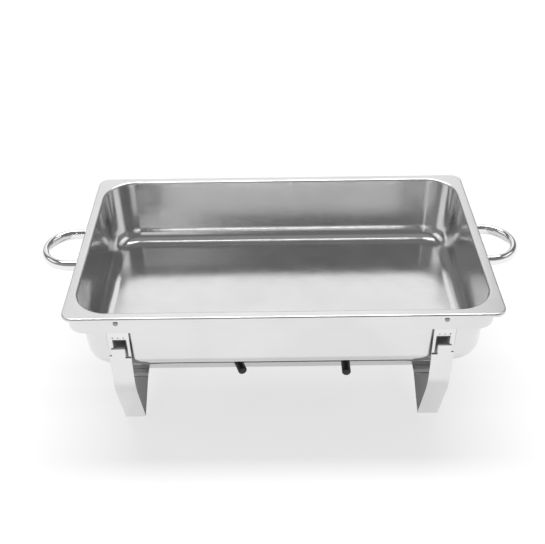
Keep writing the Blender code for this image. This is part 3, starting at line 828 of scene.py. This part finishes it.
def damper_mesh(level):
    """A disc with an arm to its pivot behind it, and a finger tab turned up at the front."""
    tab_half, tab_rise, neck = 0.006, 0.0045, 0.0065
    tab_bend, tab_turn, tab_taper, tab_lean = 0.0012, math.radians(77), 0.9, 0.0004
    bm = bmesh.new()
    tab_angle = math.asin(tab_half / DAMPER_RADIUS)
    arm_angle = math.acos(neck / DAMPER_RADIUS)
    start, end = -math.pi / 2 + tab_angle, arm_angle
    steps = 40
    outline = []
    for step in range(steps + 1):
        angle = start + (end - start) * step / steps
        outline.append((DAMPER_RADIUS * math.cos(angle), DAMPER_RADIUS * math.sin(angle)))
    right_side = list(outline)
    for step in range(1, 24):
        angle = math.pi * step / 24
        outline.append((neck * math.cos(angle), DAMPER_PIVOT + neck * math.sin(angle)))
    outline += [(-x, y) for x, y in reversed(right_side)]
    outer = [bm.verts.new((x, y, level)) for x, y in outline]
    hole = [bm.verts.new((x, y, level)) for x, y in circle(0, DAMPER_PIVOT, DAMPER_PIN_RADIUS + GAP, 24)]
    loops = []
    for ring in (outer, hole):
        loops += [bm.edges.new(pair) for pair in zip(ring, ring[1:] + ring[:1])]
    bmesh.ops.triangle_fill(bm, use_beauty=True, edges=loops)
    first, last = outer[0], outer[-1]
    rows = [(first, last)]
    for step in range(1, 5):
        angle = tab_turn * step / 4
        shift = Vector((0, -tab_bend * math.sin(angle), tab_bend * (1 - math.cos(angle))))
        rows.append([bm.verts.new(v.co + shift) for v in (first, last)])
    ends = [Vector((v.co.x * tab_taper, v.co.y - tab_lean, level + tab_rise)) for v in rows[-1]]
    rows.append([bm.verts.new(place) for place in ends])
    for (a, b), (c, d) in zip(rows, rows[1:]):
        bm.faces.new([a, b, d, c])
    bmesh.ops.recalc_face_normals(bm, faces=bm.faces)
    return bm


def stem_profile():
    """The metal stem from the cup's wall, with a spigot up the middle of the grip. Z runs outwards."""
    root = CUP_RADIUS + GAP
    spigot_end, collar = GRIP_END - 0.007, STEM_RADIUS + 0.0008
    fillet, flange = 0.0022, 0.0012
    return (
        [(0, spigot_end), (SPIGOT_RADIUS, spigot_end), (SPIGOT_RADIUS, GRIP_START - GAP)]
        + [(collar, GRIP_START - GAP), (collar, GRIP_START - 0.0022)]
        + [(STEM_RADIUS, GRIP_START - 0.003), (STEM_RADIUS, root + 0.004)]
        + arc(STEM_RADIUS + fillet, root + 0.0036, fillet, 180, 270, 6)
        + [(STEM_FLANGE_RADIUS, root + flange), (STEM_FLANGE_RADIUS, root), (0, root)]
    )


def grip_profile():
    """A round grip with a groove near its root and a domed end, bored for the spigot."""
    bore = SPIGOT_RADIUS + GAP
    bore_end = GRIP_END - 0.006
    groove, groove_half, floor_half = GRIP_START + 0.0105, 0.0009, 0.0004
    groove_floor = GRIP_RADIUS - 0.0007
    edge, dome = 0.0006, 0.0022
    profile = [(0, bore_end), (bore, bore_end), (bore, GRIP_START)]
    profile += arc(GRIP_RADIUS - edge, GRIP_START + edge, edge, -90, 0, 4)
    profile += [(GRIP_RADIUS, groove - groove_half), (groove_floor, groove - floor_half)]
    profile += [(groove_floor, groove + floor_half), (GRIP_RADIUS, groove + groove_half)]
    profile += arc(GRIP_RADIUS - dome, GRIP_END - dome, dome, 0, 78, 7)
    profile.append((0, GRIP_END))
    return profile


def burner(side, centre_x, turn):
    axis = Matrix.Translation((centre_x, 0, CUP_BASE_Z)) @ Matrix.Rotation(turn, 4, "Z")
    lid_top = CUP_HEIGHT + GAP + LID_SHEET
    level = lid_top + GAP + DAMPER_SHEET / 2
    pin_top = level + DAMPER_SHEET / 2 + GAP
    shank = pin_top - (lid_top - LID_SHEET - GAP)
    outwards = axis @ Matrix.Translation((0, 0, STEM_HEIGHT)) @ Matrix.Rotation(math.pi / 2, 4, "X")
    body, lid_body = f"{side}_burner", f"{side}_lid"
    cup = finish_piece(
        f"{side}_fuel_cup", turned(cup_profile()), TURNED_STEEL, body, [f"{side}_burner_cup"], axis
    )
    lid = finish_piece(
        f"{side}_fuel_lid", turned(lid_profile(), closed=True), TURNED_STEEL, lid_body,
        [f"{side}_burner_lid"], axis,
    )
    stem = finish_piece(
        f"{side}_grip_stem", turned(stem_profile(), steps=48), BRIGHT_STEEL, body,
        [f"{side}_burner_stem"], outwards,
    )
    grip = finish_piece(
        f"{side}_grip_handle", turned(grip_profile(), steps=64), BLACK_PLASTIC, body,
        [f"{side}_burner_grip"], outwards,
    )
    rivet = finish_piece(
        f"{side}_damper_pin", domed_pin(*DAMPER_PIN_HEAD, DAMPER_PIN_RADIUS, shank, *DAMPER_PIN_TAIL),
        BRIGHT_STEEL, lid_body, [f"{side}_damper_rivet"],
        axis @ Matrix.Translation((0, DAMPER_PIVOT, pin_top)),
    )
    for piece in (cup, lid, stem, grip, rivet):
        sharpen(piece)
    plate = finish_piece(
        f"{side}_damper_plate", damper_mesh(level), TURNED_STEEL, f"{side}_damper", [f"{side}_damper"],
        axis,
    )
    thicken(plate, DAMPER_SHEET, 0)
    soften(plate, 0.00015)


def cut_rivet_hole(side):
    """The lid's hole for the damper's rivet."""
    lid = bpy.data.objects[f"{side}_fuel_lid"]
    bm = bmesh.new()
    radius = DAMPER_PIN_RADIUS + GAP
    bmesh.ops.create_cone(bm, cap_ends=True, segments=32, radius1=radius, radius2=radius, depth=0.006)
    mesh = bpy.data.meshes.new("rivet_hole")
    bm.to_mesh(mesh)
    bm.free()
    mesh.transform(Matrix.Translation((0, DAMPER_PIVOT, CUP_HEIGHT + GAP)))
    cutter = bpy.data.objects.new("rivet_hole", mesh)
    bpy.context.scene.collection.objects.link(cutter)
    cutter.matrix_world = lid.matrix_world
    boolean = lid.modifiers.new("hole", "BOOLEAN")
    boolean.object = cutter
    boolean.operation = "DIFFERENCE"
    bpy.context.view_layer.update()
    graph = bpy.context.evaluated_depsgraph_get()
    result = bpy.data.meshes.new_from_object(lid.evaluated_get(graph))
    lid.modifiers.clear()
    lid.data = result
    bpy.data.objects.remove(cutter)
    sharpen(lid)


# Floor and light

FLOOR_TONE = (0.36, 0.36, 0.36, 1)
FLOOR_GLOW = 0.66
FLOOR_GLOW_ENDS = (1.8, 4.0)  # the floor's own light fades out between these distances
DIM_STUDIO, DIM_HORIZON = 0.18, 0.5


def add_floor():
    bm = bmesh.new()
    bmesh.ops.create_grid(bm, x_segments=1, y_segments=1, size=30)
    mesh = bpy.data.meshes.new("floor")
    bm.to_mesh(mesh)
    bm.free()
    floor = bpy.data.objects.new("floor", mesh)
    bpy.context.scene.collection.objects.link(floor)
    made, nodes, shader, place = new_material("pale_floor")
    away = nodes.add("ShaderNodeVectorMath", {"operation": "LENGTH"})
    nodes.put(away.inputs[0], place)
    lit = nodes.ramp(away.outputs["Value"], *FLOOR_GLOW_ENDS, 1, 0)
    shader.inputs["Base Color"].default_value = FLOOR_TONE
    shader.inputs["Roughness"].default_value = 0.9
    shader.inputs["Emission Color"].default_value = (1, 1, 1, 1)
    nodes.put(shader.inputs["Emission Strength"], nodes.ramp(lit, 0, 1, 0.0, FLOOR_GLOW, smooth=False))
    mesh.materials.append(made)


def studio_light():
    """The studio as seen along each direction: a white backdrop behind, a box at the rear left, a
    narrow strip and a weak box at the front left, boxes at both sides, a box overhead that leans
    to the rear, a faint ceiling, and the dim rest."""
    world = bpy.data.worlds.new("studio")
    world.use_nodes = True
    bpy.context.scene.world = world
    nodes = Nodes(world.node_tree)
    background = world.node_tree.nodes["Background"]
    direction = nodes.add("ShaderNodeTexCoord").outputs["Generated"]
    x, y, z = nodes.add("ShaderNodeSeparateXYZ", Vector=direction).outputs

    def patch(value, *windows):
        """Light of this strength where every number lies in its window, with soft edges."""
        for number, low, low_full, high_full, high in windows:
            value = nodes.math("MULTIPLY", value, nodes.ramp(number, low, low_full, 0, 1))
            value = nodes.math("MULTIPLY", value, nodes.ramp(number, high_full, high, 1, 0))
        return value

    behind = nodes.math("DIVIDE", x, nodes.math("MAXIMUM", y, 0.001))
    before = nodes.math("DIVIDE", x, nodes.math("MAXIMUM", nodes.math("MULTIPLY", y, -1.0), 0.001))
    sideways = nodes.math("ABSOLUTE", x)
    overhead = nodes.math("DIVIDE", y, nodes.math("MAXIMUM", z, 0.001))
    across = nodes.math("DIVIDE", x, nodes.math("MAXIMUM", z, 0.001))
    rear = (y, 0.0, 0.2, 1.1, 1.2)
    front = (y, -1.2, -1.1, -0.3, -0.1)
    beside = (y, -0.5, -0.3, 0.15, 0.35)
    upwards = (z, 0.5, 0.7, 1.1, 1.2)
    patches = [
        patch(1.04, (behind, -0.46, -0.28, 0.28, 0.46), (z, 0.02, 0.25, 0.74, 0.88), rear),
        patch(0.85, (behind, -1.5, -0.9, -0.42, -0.3), (z, 0.12, 0.28, 0.58, 0.7), rear),
        patch(1.6, (before, -0.19, -0.162, -0.138, -0.1), (z, 0.2, 0.36, 0.55, 0.75), front),
        patch(0.3, (before, -2.0, -1.4, -0.3, -0.2), (z, 0.1, 0.3, 0.6, 0.8), front),
        patch(1.1, (sideways, 0.6, 0.7, 1.1, 1.2), (z, 0.25, 0.38, 0.62, 0.75), beside),
        patch(14.0, (overhead, 0.13, 0.19, 0.34, 0.4), (across, -0.5, -0.4, 0.4, 0.5), upwards),
        nodes.math("MULTIPLY", nodes.ramp(z, 0.8, 0.9, 0, 1), 0.3),
    ]
    level = nodes.ramp(z, 0.08, 0.22, DIM_HORIZON, DIM_STUDIO)
    for light in patches:
        level = nodes.math("MAXIMUM", level, light)
    nodes.put(background.inputs["Color"], (1, 1, 1, 1))
    nodes.put(background.inputs["Strength"], level)


water_pan()
rim_band()
for side_name, side_sign in SIDES.items():
    handle(side_name, side_sign)
    for end_name, end_sign_value in ENDS.items():
        bracket(side_name, side_sign, end_name, end_sign_value)
        leg(side_name, side_sign, end_name, end_sign_value)
        pivot_rivet(side_name, side_sign, end_name, end_sign_value)
        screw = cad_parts[f"{side_name}_{end_name}_handle_screw"]
        screw.data.materials.clear()
        screw.data.materials.append(BRIGHT_STEEL)
    cross_strip(side_name, side_sign)
fuel_shelf()
burner("left", LEFT_BURNER_X, LEFT_BURNER_TURN)
burner("right", RIGHT_BURNER_X, 0)
cut_rivet_hole("left")
cut_rivet_hole("right")
add_floor()
studio_light()
bpy.context.scene.view_settings.view_transform = "Standard"
bpy.context.view_layer.update()
